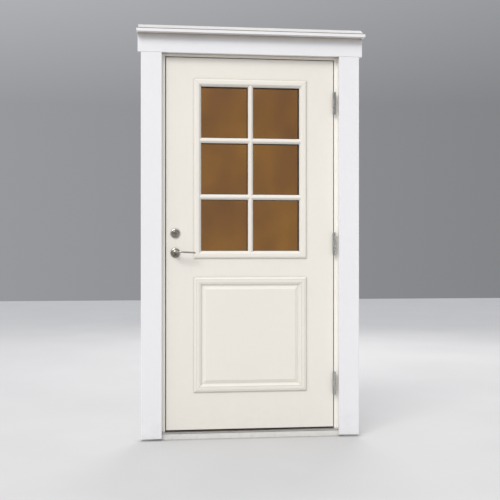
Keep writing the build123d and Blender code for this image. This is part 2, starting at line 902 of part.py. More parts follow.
def make_lock_case():
    """The lock's sheet metal case, open behind its face plate."""
    hollow = block(forend_back - overrun, forend_back + lock_case_depth - lock_case_wall,
                   leaf_middle - lock_case_thickness / 2 + lock_case_wall,
                   leaf_middle + lock_case_thickness / 2 - lock_case_wall,
                   lock_z - lock_case_height / 2 + lock_case_wall,
                   lock_z + lock_case_height / 2 - lock_case_wall)
    case = lock_case_outline(0) - hollow
    across = Rot(90, 0, 0)
    hub_hole = Pos(spindle_x, leaf_middle, handle_z) * across
    tail_hole = Pos(spindle_x, leaf_middle, cylinder_z) * across
    return cut(case, [hub_hole * Cylinder(follower_radius + lock_clearance, leaf_thickness),
                      tail_hole * Cylinder(tail_hole_radius, leaf_thickness)])


def make_latch_bolt():
    """The sprung bolt: a bevelled head, a bar and a leg that the follower pushes."""
    front = leaf_middle - bolt_thickness / 2
    back = leaf_middle + bolt_thickness / 2
    tip = -leaf_edge - latch_throw
    tail = forend_back + bolt_head_depth
    outline = Polyline((tip, front), (tip, front + latch_tip), (-leaf_edge, back),
                       (tail, back), (tail, front), close=True)
    head = extrude(make_face(outline), amount=latch_height / 2, both=True)
    head = Pos(0, 0, latch_z) * head
    half = bolt_bar_width / 2
    leg_x = spindle_x + follower_arm_width / 2 + follower_arm_play
    bar = block(tail, leg_x + bolt_bar_width / 2, leaf_middle - bolt_bar_thickness / 2,
                leaf_middle + bolt_bar_thickness / 2, latch_z - half, latch_z + half)
    leg = block(leg_x, leg_x + bolt_bar_width / 2, leaf_middle - bolt_bar_thickness / 2,
                leaf_middle + bolt_bar_thickness / 2, handle_z + follower_radius, latch_z)
    return head + bar + leg


def make_dead_bolt():
    """The dead bolt, drawn back, with the slotted tail that the cam's pin drives."""
    front = leaf_middle - bolt_thickness / 2
    back = leaf_middle + bolt_thickness / 2
    bottom = dead_bolt_z - dead_bolt_height / 2
    top = dead_bolt_z + dead_bolt_height / 2
    tail = forend_back + dead_bolt_throw + bolt_head_depth / 2
    head = block(-leaf_edge + lock_clearance, tail, front, back, bottom, top)
    pin_x = spindle_x + cam_reach
    pin_z = cylinder_z - cam_reach
    half_slot = cam_pin_radius + cam_pin_play
    arm = block(tail, pin_x + 2 * half_slot, front + bolt_side_gap, front + bolt_side_gap
                + bolt_tail_thickness, bottom, cylinder_z - tail_hole_radius - lock_clearance)
    slot = block(pin_x - half_slot, pin_x + half_slot, front, back, pin_z - cam_reach,
                 cylinder_z)
    return head + (arm - slot)


def make_lock_follower():
    """The hub that the spindle turns, with the arm that draws the latch."""
    length = lock_case_thickness + 2 * follower_stand
    hub = Cylinder(follower_radius, length) - Box(spindle_socket, spindle_socket, length)
    root = (follower_radius + spindle_size / 2) / 2
    arm = Pos(0, (follower_arm_reach + root) / 2, 0) * Box(
        follower_arm_width, follower_arm_reach - root, bolt_bar_thickness)
    tip = Pos(0, follower_arm_reach, 0) * Cylinder(follower_arm_width / 2, bolt_bar_thickness)
    place = Pos(spindle_x, leaf_middle, handle_z) * Rot(90, 0, 0)
    return place * (hub + arm + tip)


def rose(hole_radius):
    """A round rose with a domed shoulder, face up."""
    outline = make_face([
        Line((hole_radius, 0), (rose_radius, 0)),
        Line((rose_radius, 0), (rose_radius, rose_rim)),
        SagittaArc((rose_radius, rose_rim), (rose_top_radius, rose_height), -rose_belly),
        Line((rose_top_radius, rose_height), (hole_radius, rose_height)),
        Line((hole_radius, rose_height), (hole_radius, 0))])
    return revolve(Plane.XZ * outline, axis=Axis.Z)


def ring_groove(radius, width, depth, top):
    """Cutter for a vee groove round a turned face."""
    section = Polyline((radius - width / 2, top), (radius, top - depth),
                       (radius + width / 2, top), (radius, top + depth), close=True)
    return revolve(Plane.XZ * make_face(section), axis=Axis.Z)


def make_handle_roses():
    outer = on_outer_face(spindle_x, handle_z, rose(neck_radius + neck_hole_clearance))
    return outer, inner_twin(outer)


def make_cylinder_rose():
    """The cylinder's rose, with a groove turned round its face."""
    plate = rose(cylinder_radius + neck_hole_clearance)
    plate -= ring_groove(ring_radius, ring_width, ring_depth, rose_height)
    return on_outer_face(spindle_x, cylinder_z, plate)


def make_turn_rose():
    plate = rose(neck_radius + neck_hole_clearance)
    return inner_twin(on_outer_face(spindle_x, cylinder_z, plate))


def lever_hub():
    """The handle's hub: a neck that turns in the rose, under a domed collar."""
    top = rose_seat + hub_height
    outline = make_face([
        Line((0, furniture_seat_gap), (neck_radius, furniture_seat_gap)),
        Line((neck_radius, furniture_seat_gap), (neck_radius, rose_seat)),
        Line((neck_radius, rose_seat), (hub_radius, rose_seat)),
        Line((hub_radius, rose_seat), (hub_radius, rose_seat + hub_rim)),
        SagittaArc((hub_radius, rose_seat + hub_rim), (lever_neck_radius, top), -hub_belly),
        Line((lever_neck_radius, top), (0, top)),
        Line((0, top), (0, furniture_seat_gap))])
    return revolve(Plane.XZ * outline, axis=Axis.Z)


def lever_section(x, rise, stand, tilt, half_height, half_depth):
    """An oval section of the lever, tilted from facing out to facing along it."""
    plane = Plane(origin=(x, rise, stand), x_dir=(0, 1, 0),
                  z_dir=Vector(0, 0, 1).rotate(Axis.Y, tilt))
    return plane * Ellipse(half_height, half_depth)


def lever_grip():
    """A neck that bends sideways into a slim grip, which rises, dips and ends rounded."""
    foot = rose_seat + hub_height - lever_root
    bend = lever_stand - foot
    sections = [lever_section(0, 0, foot, 0, lever_neck_radius, lever_neck_radius)]
    for share in lever_bend_shares:
        turn = radians(90 * share)
        slim = share ** 0.5
        half_height = lever_neck_radius + (lever_half_height - lever_neck_radius) * slim
        half_depth = lever_neck_radius + (lever_half_depth - lever_neck_radius) * slim
        sections.append(lever_section(lever_bend_reach * (1 - cos(turn)), lever_rise * share,
                                      foot + bend * sin(turn), 90 * share, half_height,
                                      half_depth))
    for share, thick in lever_grip_stations:
        x = lever_bend_reach + (lever_reach - lever_bend_reach) * share
        sections.append(lever_section(x, lever_rise * (1 - share ** 2), lever_stand, 90,
                                      lever_half_height * thick, lever_half_depth * thick))
    return loft(sections)


def make_lever():
    """The handle: hub and grip in one, with a square socket for the spindle."""
    hole = Pos(0, 0, spindle_reach / 2) * Box(spindle_socket, spindle_socket, spindle_reach)
    return on_outer_face(spindle_x, handle_z, lever_hub() + lever_grip() - hole)


def make_spindle():
    bar = Box(spindle_size, spindle_size, leaf_thickness + 2 * spindle_reach
              - 4 * spindle_clearance)
    return Pos(spindle_x, leaf_middle, handle_z) * Rot(90, 0, 0) * bar


def make_cylinder_housing():
    """The fixed barrel of the key cylinder."""
    length = cylinder_stand + case_side
    barrel = Cylinder(cylinder_radius, length) - Cylinder(plug_radius + plug_clearance, length)
    barrel = Pos(0, 0, cylinder_stand - length / 2) * barrel
    rim = barrel.edges().filter_by(GeomType.CIRCLE).sort_by(Axis.Z)[-2:]
    barrel = fillet(rim.sort_by(SortBy.RADIUS)[-1], cylinder_arris)
    barrel -= ring_groove(cylinder_ring_radius, cylinder_ring_width, cylinder_ring_depth,
                          cylinder_stand)
    return on_outer_face(spindle_x, cylinder_z, barrel)


def make_cylinder_plug():
    """The plug that the key turns, with its flat tail."""
    length = cylinder_stand + case_side
    plug = Pos(0, 0, cylinder_stand + plug_stand - length / 2) * Cylinder(plug_radius, length)
    keyway = Box(keyway_width, keyway_height, 2 * keyway_depth)
    plug -= Pos(0, 0, cylinder_stand + plug_stand) * keyway
    tail_top = -case_side + plug_tail_root
    tail_end = -leaf_thickness / 2 + plug_tail_short
    tail = Pos(0, 0, (tail_top + tail_end) / 2) * Box(
        keyway_width, plug_tail_width, tail_top - tail_end)
    return on_outer_face(spindle_x, cylinder_z, plug + tail)


def make_thumbturn():
    """The turn on the room side, with its tail, cam and driving pin."""
    wing_foot = rose_height + turn_neck_stand
    neck_length = wing_foot - furniture_seat_gap
    neck = Pos(0, 0, furniture_seat_gap + neck_length / 2) * Cylinder(neck_radius, neck_length)
    wing = extrude(SlotOverall(turn_length, turn_width, rotation=90),
                   amount=turn_stand - wing_foot)
    wing = fillet(wing.edges().group_by(Axis.Z)[-1], turn_arris)
    cam_front = -case_side - lock_case_wall - cam_play
    cam_back = cam_front - cam_thickness
    tail = Pos(0, 0, cam_back / 2) * Box(turn_tail_size, turn_tail_size,
                                         2 * furniture_seat_gap - cam_back)
    reach = cam_reach * 2 ** 0.5
    arm = Rot(0, 0, -45) * Pos(reach / 2, 0, 0) * SlotOverall(reach + cam_width, cam_width)
    cam = Pos(0, 0, cam_back) * extrude(arm, amount=cam_thickness)
    pin = Pos(cam_reach, -cam_reach, cam_back - cam_pin_length / 2) * Cylinder(
        cam_pin_radius, cam_pin_length)
    turn = neck + Pos(0, 0, wing_foot) * wing + tail + cam + pin
    return inner_twin(on_outer_face(spindle_x, cylinder_z, turn))


def main():
    os.makedirs("parts", exist_ok=True)
    threshold = make_threshold()
    blank = jamb_blank(threshold)
    jamb_lock = make_jamb_lock_side(blank)
    jamb_hinge = make_jamb_hinge_side(blank)
    save("threshold", threshold)
    save("threshold_plate", make_threshold_plate())
    save("jamb_lock_side", jamb_lock)
    save("jamb_hinge_side", jamb_hinge)
    save("frame_head", make_frame_head([mirror(blank, about=Plane.YZ), blank]))
    save("frame_seals", *make_seals())

    lining_hinge, lining_lock = both_sides(make_lining_side(threshold))
    casing_hinge, casing_lock = both_sides(make_casing_side())
    save("lining_hinge_side", lining_hinge)
    save("lining_lock_side", lining_lock)
    save("lining_head", make_lining_head())
    save("casing_hinge_side", casing_hinge)
    save("casing_lock_side", casing_lock)
    save("casing_header", make_casing_header())
    save("drip_cap", make_drip_cap())

    save("skin_outer", make_skin_outer())
    save("skin_inner", make_skin_inner())
    save("stile_lock_side", *make_stile_lock_side())
    save("stile_hinge_side", make_stile_hinge_side())
    for name, rail in zip(("rail_top", "rail_middle", "rail_bottom"), make_rails()):
        save(name, rail)
    save("aperture_posts", *make_aperture_posts())
    save("insulation", make_insulation())

    for name, pane in zip(("glass_outer", "glass_middle", "glass_inner"), make_panes()):
        save(name, pane)
    save("glass_spacers", *make_spacers())
    gasket = make_gasket()
    save("glazing_gaskets", gasket, inner_twin(gasket))
    moulding = make_glazing_moulding()
    uprights, crossing = make_bars(moulding)
    save("glazing_moulding_outer", *moulding)
    save("glazing_moulding_inner", *map(inner_twin, moulding))
    save("bar_upright_outer", *uprights)
    save("bar_upright_inner", *map(inner_twin, uprights))
    save("bars_cross_outer", *crossing)
    save("bars_cross_inner", *map(inner_twin, crossing))

    panel_moulding = make_panel_moulding()
    field = make_raised_field()
    save("panel_moulding_outer", *panel_moulding)
    save("panel_moulding_inner", *map(inner_twin, panel_moulding))
    save("raised_field_outer", field)
    save("raised_field_inner", inner_twin(field))

    save("hinge_frame_plates", *make_hinge_frame_plates())
    save("hinge_frame_screws", *make_hinge_frame_screws())
    save("hinge_pins", *make_hinge_pins())
    save("hinge_leaf_plates", *make_hinge_leaf_plates())
    save("hinge_leaf_screws", *make_hinge_leaf_screws())
    save("hinge_rings", *make_hinge_rings())
    save("strike_plate", make_strike_plate())
    save("strike_screws", *make_strike_screws())

    lever = make_lever()
    save("lock_case", make_lock_case())
    save("lock_forend", make_lock_forend())
    save("forend_screws", *make_forend_screws())
    save("latch_bolt", make_latch_bolt())
    save("dead_bolt", make_dead_bolt())
    save("lock_follower", make_lock_follower())
    save("spindle", make_spindle())
    save("handle_outer", lever)
    save("handle_inner", inner_twin(lever))
    save("handle_roses", *make_handle_roses())
    save("cylinder_rose", make_cylinder_rose())
    save("cylinder_housing", make_cylinder_housing())
    save("cylinder_plug", make_cylinder_plug())
    save("turn_rose", make_turn_rose())
    save("thumbturn", make_thumbturn())


main()
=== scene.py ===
import math

import bmesh
import bpy
from mathutils import Matrix, Vector


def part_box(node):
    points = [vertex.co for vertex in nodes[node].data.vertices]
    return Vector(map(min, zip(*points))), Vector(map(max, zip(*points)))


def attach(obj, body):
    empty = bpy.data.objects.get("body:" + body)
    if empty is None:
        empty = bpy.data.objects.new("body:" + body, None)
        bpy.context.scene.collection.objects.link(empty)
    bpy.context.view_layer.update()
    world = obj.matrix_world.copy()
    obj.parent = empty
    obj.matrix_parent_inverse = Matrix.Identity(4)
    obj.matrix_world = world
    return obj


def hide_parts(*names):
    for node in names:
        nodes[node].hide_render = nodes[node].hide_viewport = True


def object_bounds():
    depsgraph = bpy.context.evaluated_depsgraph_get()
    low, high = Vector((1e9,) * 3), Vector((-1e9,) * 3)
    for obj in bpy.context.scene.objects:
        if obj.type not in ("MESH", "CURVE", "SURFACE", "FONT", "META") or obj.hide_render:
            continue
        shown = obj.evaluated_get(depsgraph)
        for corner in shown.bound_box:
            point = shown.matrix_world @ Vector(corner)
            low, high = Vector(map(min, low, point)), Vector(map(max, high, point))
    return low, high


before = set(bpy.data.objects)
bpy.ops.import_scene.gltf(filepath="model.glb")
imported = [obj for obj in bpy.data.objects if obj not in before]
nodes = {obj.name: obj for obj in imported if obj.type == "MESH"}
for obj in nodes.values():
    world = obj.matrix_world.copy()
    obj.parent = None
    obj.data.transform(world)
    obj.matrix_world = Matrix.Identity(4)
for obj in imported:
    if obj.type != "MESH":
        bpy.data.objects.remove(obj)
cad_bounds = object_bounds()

# Camera, with its place in metres, its turn in degrees, its lens and sensor in millimetres
CAMERA_PLACE = (-0.638, -5.133, 1.018)
CAMERA_YAW = 7.13
CAMERA_LENS = 67.63
CAMERA_SENSOR = 36.0

# Paints, one of them darkened as painted shade, and the stains, painted shade and bare wood on
# them
TRIM = (0.80, 0.797, 0.815)
FRAME = (0.885, 0.86, 0.81)
# The paint of the lining's head: the frame's paint darkened, as painted shade under the header
LINING_SHADED = (0.62, 0.57, 0.48)
LEAF = (0.80, 0.766, 0.702)
SILL = (0.74, 0.73, 0.70)
NIB = (0.42, 0.38, 0.32)
GREASE_AND_SHADE = (0.045, 0.04, 0.035)
DUST_AND_SHADE = (0.46, 0.44, 0.405)
MUD = (0.47, 0.43, 0.37)
BARE_WOOD = (0.62, 0.56, 0.47)

# Noise scales along and across the brush strokes, by the axis that they follow
ALONG = 5.0
ACROSS = 260.0
STROKES = {"X": (ALONG, ACROSS, ACROSS), "Z": (ACROSS, ACROSS, ALONG),
           None: (ACROSS, ACROSS, ACROSS)}
STROKES_PER_WAVE = 7
PAINT_GLOSS = 0.45

# Relief, stains, painted shade and wear of the paint, in metres
WAVE_DEPTH = 0.0004
BRISTLE_DEPTH = 0.0002
PEEL_DEPTH = 0.000025
NIB_DEPTH = 0.00008
GRIME_AND_SHADE_REACH = 0.003
SOIL_AND_SHADOW_REACH = 0.014
SHADE_REACH = 0.045
SPLASH_HEIGHTS = (0.02, 0.26)
MITRE_WIDTHS = (0.0002, 0.0007)
MITRE_DEPTH = 0.0003
WORN_RADIUS = 0.0016

# Noise scales of the brushing on metal
UPRIGHT_BRUSHING = (700.0, 700.0, 25.0)
LEVER_BRUSHING = (40.0, 900.0, 900.0)
TURNED_BRUSHING = (300.0, 900.0, 300.0)
SCREW_BRUSHING = (30.0, 30.0, 1400.0)

# Relief, stains with painted shade, and polish of metal, in metres
BRUSHING_DEPTH = 0.000012
SPOT_DEPTH = 0.00001
METAL_GRIME_AND_SHADE_REACH = 0.003
POLISHED_RADIUS = 0.0006

# Countersunk wood screws with a cross recess: radii, depths and lengths in metres
SCREW_HEAD = 0.0042
SCREW_HEAD_DEPTH = 0.0024
SCREW_CORE = 0.00155
SCREW_THREAD = 0.0022
SCREW_PITCH = 0.0018
SCREW_POINT = 3 * SCREW_THREAD
RECESS_REACH = 0.0024
RECESS_HALF = 0.00048
RECESS_DEPTH = 0.0019
RECESS_FLOOR_REACH = RECESS_REACH * 0.5
RECESS_FLOOR_HALF = RECESS_HALF * 0.7
RIDGE_SHARE = 0.5  # of the pitch, the rest is core
ROUND_STEPS = 24
THREAD_STEPS = 6
SCREW_SPIN = 37  # degrees from one screw to the next
SAME_POINT = 1e-7

# Floor, in metres
FLOOR_HALF = 14.0
FLOOR_DROP = 0.0003

# Strength of the sky by height and from left to right: two directions, two strengths
SKY_BY_HEIGHT = (0.15, 0.9, 0.32, 1.2)
SKY_BY_SIDE = (-0.9, 0.9, 1.45, 0.5)
SKY_COLOR = (0.93, 0.95, 1.0)


class Nodes:
    """Shader nodes in one tree, which read places or directions from one output."""

    def __init__(self, tree, place):
        self.tree = tree
        self.place = self.node("ShaderNodeTexCoord").outputs[place]

    def node(self, kind, **settings):
        made = self.tree.nodes.new(kind)
        for key, value in settings.items():
            setattr(made, key, value)
        return made

    def put(self, socket, value):
        """Sets a socket to a value, or links it to another socket."""
        if isinstance(value, bpy.types.NodeSocket):
            self.tree.links.new(value, socket)
        else:
            socket.default_value = value

    def math(self, operation, a, b=0.0, clamp=False):
        made = self.node("ShaderNodeMath", operation=operation, use_clamp=clamp)
        self.put(made.inputs[0], a)
        self.put(made.inputs[1], b)
        return made.outputs[0]

    def times(self, a, b):
        return self.math("MULTIPLY", a, b)

    def span(self, value, low, high, to_low=0.0, to_high=1.0, kind="LINEAR"):
        """Maps a value from one range to another, clamped."""
        made = self.node("ShaderNodeMapRange", interpolation_type=kind)
        for socket, number in zip(made.inputs, (value, low, high, to_low, to_high)):
            self.put(socket, number)
        return made.outputs[0]

    def between(self, value, rise, fall):
        """1 from the end of the rise to the start of the fall, 0 outside them."""
        return self.times(self.span(value, *rise), self.span(value, *fall, 1.0, 0.0))

    def axes(self, place=None):
        made = self.node("ShaderNodeSeparateXYZ")
        self.put(made.inputs[0], place or self.place)
        return made.outputs


class Shader(Nodes):
    """A material whose nodes read places in the frame's own metres."""

    def __init__(self, name):
        self.material = bpy.data.materials.new(name)
        self.material.use_nodes = True
        super().__init__(self.material.node_tree, "Object")
        self.surface = self.tree.nodes["Principled BSDF"]

    def stretch(self, scale):
        made = self.node("ShaderNodeMapping")
        self.put(made.inputs["Vector"], self.place)
        made.inputs["Scale"].default_value = scale
        return made.outputs["Vector"]

    def noise(self, scale, detail=4.0, rough=0.55, place=None):
        made = self.node("ShaderNodeTexNoise")
        self.put(made.inputs["Vector"], place or self.place)
        made.inputs["Scale"].default_value = scale
        made.inputs["Detail"].default_value = detail
        made.inputs["Roughness"].default_value = rough
        return made.outputs["Fac"]

    def lined(self, scales, detail=3.0):
        """Noise that is drawn out along the axes with small scales."""
        return self.noise(1.0, detail, 0.7, self.stretch(scales))

    def mix(self, share, a, b):
        made = self.node("ShaderNodeMix", data_type="RGBA")
        self.put(made.inputs["Factor"], share)
        self.put(made.inputs["A"], a)
        self.put(made.inputs["B"], b)
        return made.outputs["Result"]

    def height_of_normal(self):
        """1 on a surface that faces up, -1 on one that faces down."""
        return self.axes(self.node("ShaderNodeNewGeometry").outputs["Normal"])[2]

    def crevice(self, distance):
        """0 in the open, towards 1 in a corner."""
        made = self.node("ShaderNodeAmbientOcclusion", samples=6)
        made.inputs["Distance"].default_value = distance
        return self.math("SUBTRACT", 1.0, made.outputs["AO"], clamp=True)

    def edge(self, radius):
        """0 on a flat, towards 1 where the normal of a rounded edge would turn away."""
        bevel = self.node("ShaderNodeBevel", samples=4)
        bevel.inputs["Radius"].default_value = radius
        geometry = self.node("ShaderNodeNewGeometry")
        dot = self.node("ShaderNodeVectorMath", operation="DOT_PRODUCT")
        self.put(dot.inputs[0], bevel.outputs[0])
        self.put(dot.inputs[1], geometry.outputs["Normal"])
        return self.span(dot.outputs["Value"], 0.98, 0.75)

    def bump(self, height, depth, under=None):
        made = self.node("ShaderNodeBump")
        made.inputs["Strength"].default_value = 1.0
        made.inputs["Distance"].default_value = depth
        self.put(made.inputs["Height"], height)
        if under is not None:
            self.put(made.inputs["Normal"], under)
        return made.outputs["Normal"]

    def finish(self, color, rough, normal=None, **constants):
        self.put(self.surface.inputs["Base Color"], color)
        self.put(self.surface.inputs["Roughness"], rough)
        if normal is not None:
            self.put(self.surface.inputs["Normal"], normal)
        for key, value in constants.items():
            self.surface.inputs[key.replace("_", " ")].default_value = value
        return self.material


def rgba(color, share=1.0):
    return (*(channel * share for channel in color), 1.0)


def scaled(color, red, green, blue):
    return (color[0] * red, color[1] * green, color[2] * blue, 1.0)


class Paint(Shader):
    """Brushed satin paint on timber or board, with traces of use and painted shade laid on one
    by one.
    """

    def __init__(self, name, color, rough, grain=None, brush=1.0):
        super().__init__(name)
        self.color = color
        strokes = STROKES[grain]
        bristle = self.noise(1.0, 4.0, 0.65, self.stretch(strokes))
        waves = tuple(scale / STROKES_PER_WAVE for scale in strokes)
        wave = self.noise(1.0, 2.0, 0.5, self.stretch(waves))
        cloud = self.noise(1.9, 3.0)
        nibs = self.span(self.noise(190.0, 2.0, 0.4), 0.765, 0.80)
        self.mottle = self.noise(42.0, 4.0, 0.65)
        self.tone = self.mix(self.span(cloud, 0.3, 0.7), rgba(color, 0.972), rgba(color))
        self.cover(self.span(self.mottle, 0.35, 0.75, 0.0, 0.3),
                   scaled(color, 0.955, 0.95, 0.93))
        self.cover(self.span(bristle, 0.42, 0.75, 0.0, 0.35 * brush), rgba(color, 0.93))
        self.cover(self.times(nibs, 0.35), rgba(NIB))
        # Soiling and painted shade: a darker tone in small corners, creases and gaps
        grime_and_shade = self.span(self.mottle, 0.25, 0.7, 0.10, 0.40)
        self.cover(self.times(self.crevice(GRIME_AND_SHADE_REACH), grime_and_shade), scaled(color, 0.66, 0.60, 0.52))
        self.roughness = self.span(bristle, 0.3, 0.8, rough - 0.07, rough + 0.09)
        relief = self.bump(wave, WAVE_DEPTH * brush)
        relief = self.bump(bristle, BRISTLE_DEPTH * brush, relief)
        relief = self.bump(self.noise(700.0, 2.0), PEEL_DEPTH, relief)
        self.relief = self.bump(nibs, NIB_DEPTH, relief)

    def cover(self, share, color):
        self.tone = self.mix(share, self.tone, color)

    def roughen(self, share, amount):
        self.roughness = self.math("ADD", self.roughness, self.times(share, amount))

    def soiled_and_shadowed(self, amount):
        """A soft dark line along the foot of a moulding: painted shadow, with some soiling."""
        patches = self.span(self.noise(24.0, 4.0, 0.6), 0.25, 0.7, 0.7 * amount, amount)
        line = self.times(self.span(self.crevice(SOIL_AND_SHADOW_REACH), 0.08, 0.42), patches)
        self.cover(line, scaled(self.color, 0.50, 0.45, 0.38))
        return self

    def shaded(self, amount):
        """A soft dark tone in wide corners, as under the cap and at the frame's head."""
        patches = self.span(self.noise(7.0, 4.0, 0.6), 0.25, 0.7, 0.75, 1.0)
        corner = self.times(self.span(self.crevice(SHADE_REACH), 0.06, 0.5), amount)
        self.cover(self.times(corner, patches), scaled(self.color, 0.42, 0.35, 0.26))
        return self

    def greased_and_shaded(self, amount):
        """Lock grease and painted shade in the gap beside the leaf, over the strike plate's
        height.
        """
        (_, _, low), (rebate, _, high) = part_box("strike_plate")
        edge, front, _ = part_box("skin_outer")[0]
        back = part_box("skin_inner")[1][1]
        x, y, z = self.axes()
        level = self.between(z, (low - 0.003, low + 0.003), (high - 0.003, high + 0.003))
        across = self.between(x, (rebate - 0.0006, rebate - 0.0002),
                              (edge + 0.0003, edge + 0.0008))
        deep = self.between(y, (front + 0.003, front + 0.006), (back - 0.004, back - 0.002))
        grease_and_shade_smear = self.span(self.noise(60.0, 5.0, 0.7), 0.3, 0.65, 0.7 * amount, amount)
        gap = self.times(level, self.times(across, deep))
        self.cover(self.times(grease_and_shade_smear, gap), rgba(GREASE_AND_SHADE))
        return self

    def dusty_and_shaded(self, amount):
        """Dust and painted shade on the faces that look up."""
        patches = self.span(self.noise(14.0, 5.0, 0.6), 0.25, 0.75, 0.8, 1.0)
        facing = self.span(self.height_of_normal(), 0.25, 0.8, 0.0, amount)
        dust_and_shade = self.times(facing, patches)
        self.cover(dust_and_shade, rgba(DUST_AND_SHADE))
        self.roughen(dust_and_shade, 0.3)
        return self

    def splashed(self, amount):
        """Mud spots near the ground, fewer with the height."""
        patches = self.span(self.noise(22.0, 6.0, 0.7), 0.42, 0.72)
        spots = self.span(self.noise(210.0, 5.0, 0.75), 0.42, 0.62, 0.15, 1.0)
        low = self.span(self.axes()[2], *SPLASH_HEIGHTS, 1.0, 0.0, "SMOOTHSTEP")
        mud = self.times(self.times(low, self.times(patches, spots)), amount)
        self.cover(mud, rgba(MUD))
        self.roughen(mud, 0.3)
        return self

    def mitred(self, moulding):
        """The hairline at the corners of a moulding frame that is centred on the leaf."""
        (left, _, bottom), (right, _, top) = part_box(moulding)
        x, _, z = self.axes()
        from_side = self.math("SUBTRACT", (right - left) / 2, self.math("ABSOLUTE", x))
        height = self.math("SUBTRACT", z, (top + bottom) / 2)
        from_level = self.math("SUBTRACT", (top - bottom) / 2, self.math("ABSOLUTE", height))
        off = self.math("ABSOLUTE", self.math("SUBTRACT", from_side, from_level))
        open_share = self.span(self.mottle, 0.3, 0.6, 0.35, 0.8)
        joint = self.times(self.span(off, *MITRE_WIDTHS, 1.0, 0.0), open_share)
        self.cover(joint, scaled(self.color, 0.5, 0.46, 0.4))
        self.relief = self.bump(self.math("SUBTRACT", 1.0, joint), MITRE_DEPTH, self.relief)
        return self

    def worn(self, amount):
        """Sharp edges rubbed through to the wood."""
        patches = self.span(self.noise(70.0, 6.0, 0.75), 0.52, 0.66)
        rubbed = self.times(self.times(self.edge(WORN_RADIUS), patches), amount)
        self.cover(rubbed, rgba(BARE_WOOD))
        self.roughen(rubbed, 0.25)
        return self

    def dry(self):
        """The material with all that was laid on."""
        return self.finish(self.tone, self.roughness, self.relief,
                           Specular_IOR_Level=PAINT_GLOSS)


def steel(name, color, rough, brushing, tarnish=0.5, under=0.0):
    """Satin metal, brushed, tarnished, edges polished by hands; painted shade in creases, and
    below if asked.
    """
    s = Shader(name)
    lines = s.lined(brushing)
    cloud = s.noise(95.0, 5.0, 0.7)
    spots = s.span(s.noise(520.0, 3.0, 0.8), 0.60, 0.72, 0.0, tarnish)
    tone = s.mix(s.span(cloud, 0.3, 0.75, 0.0, 0.75 * tarnish), rgba(color),
                 scaled(color, 0.66, 0.62, 0.57))
    tone = s.mix(s.span(lines, 0.35, 0.7, 0.0, 0.22), tone, rgba(color, 0.72))
    tone = s.mix(spots, tone, scaled(color, 0.5, 0.45, 0.38))
    # Painted shade: faces that look down are darkened, standing in for the dark ground they
    # reflect
    if under:
        low = s.span(s.height_of_normal(), 0.15, -0.6, 0.0, under)
        tone = s.mix(low, tone, scaled(color, 0.30, 0.28, 0.26))
    # Stains and painted shade: near black in small creases
    metal_grime_and_shade = s.span(s.crevice(METAL_GRIME_AND_SHADE_REACH), 0.05, 0.6, 0.0, 0.95)
    tone = s.mix(metal_grime_and_shade, tone, rgba(color, 0.07))
    bright = s.edge(POLISHED_RADIUS)
    tone = s.mix(s.times(bright, 0.45), tone, rgba((0.80, 0.79, 0.77)))
    finish = s.math("ADD", s.span(cloud, 0.25, 0.8, rough - 0.05, rough + 0.10),
                    s.span(lines, 0.3, 0.8, -0.03, 0.05))
    finish = s.math("SUBTRACT", finish, s.times(bright, 0.08))
    relief = s.bump(lines, BRUSHING_DEPTH)
    relief = s.bump(spots, SPOT_DEPTH, relief)
    return s.finish(tone, finish, relief, Metallic=1.0, Anisotropic=0.25)


def pane_glass(name, color):
    """Tinted glass, faintly wavy, with a thin film and a little dust. The amber tint drifts
    across the door, and all panes share that drift, because it has no scale in depth. The
    tint and its drift are painted light, standing in for the warmly lit room behind."""
    s = Shader(name)
    wave = s.noise(5.0, 1.0)
    dust = s.noise(240.0, 6.0, 0.8)
    film = s.noise(9.0, 4.0, 0.7)
    drift = s.noise(1.0, 2.0, 0.5, s.stretch((3.4, 0.0, 2.2)))
    finish = s.math("ADD", s.span(film, 0.35, 0.8, 0.0, 0.035),
                    s.span(dust, 0.62, 0.8, 0.0, 0.06))
    tone = s.mix(s.span(drift, 0.35, 0.66), scaled(color, 0.90, 0.90, 1.0),
                 scaled(color, 1.04, 1.05, 1.0))
    tone = s.mix(s.span(film, 0.3, 0.8, 0.0, 0.3), tone, rgba(color, 0.9))
    return s.finish(tone, finish, s.bump(wave, 0.0006), Transmission_Weight=1.0, IOR=1.5,
                    Specular_IOR_Level=0.3)


def rubber(name, color, bloom):
    """Matt seal rubber with a faint bloom on it."""
    s = Shader(name)
    fine = s.noise(1500.0, 3.0, 0.7)
    cloud = s.noise(60.0, 4.0)
    tone = s.mix(s.span(cloud, 0.3, 0.7), rgba(color, 0.85), rgba(color, 1.1))
    tone = s.mix(s.span(fine, 0.6, 0.8, 0.0, 0.4), tone, rgba(bloom))
    return s.finish(tone, s.span(cloud, 0.3, 0.7, 0.55, 0.75), s.bump(fine, 0.00003))


def timber(name, light, dark):
    """Bare softwood with rings and pores that run along the leaf's rails."""
    s = Shader(name)
    rings = s.node("ShaderNodeTexWave", wave_type="RINGS", rings_direction="X")
    s.put(rings.inputs["Vector"], s.stretch((2.5, 30.0, 30.0)))
    rings.inputs["Scale"].default_value = 1.6
    rings.inputs["Distortion"].default_value = 5.0
    rings.inputs["Detail"].default_value = 3.0
    pores = s.lined((20.0, 900.0, 900.0))
    tone = s.mix(rings.outputs["Fac"], rgba(light), rgba(dark))
    tone = s.mix(s.span(pores, 0.5, 0.8, 0.0, 0.5), tone, rgba(dark, 0.8))
    return s.finish(tone, s.span(pores, 0.3, 0.8, 0.6, 0.8), s.bump(pores, 0.0001))


def foam(name, color):
    """Rigid foam with fine closed cells."""
    s = Shader(name)
    cells = s.node("ShaderNodeTexVoronoi", feature="DISTANCE_TO_EDGE")
    s.put(cells.inputs["Vector"], s.place)
    cells.inputs["Scale"].default_value = 700.0
    wall = s.span(cells.outputs["Distance"], 0.0, 0.12)
    tone = s.mix(wall, rgba(color, 0.78), rgba(color))
    tone = s.mix(s.span(s.noise(6.0), 0.3, 0.7, 0.0, 0.3), tone, rgba(color, 0.88))
    return s.finish(tone, s.span(wall, 0.0, 1.0, 0.9, 0.8), s.bump(wall, 0.0002))


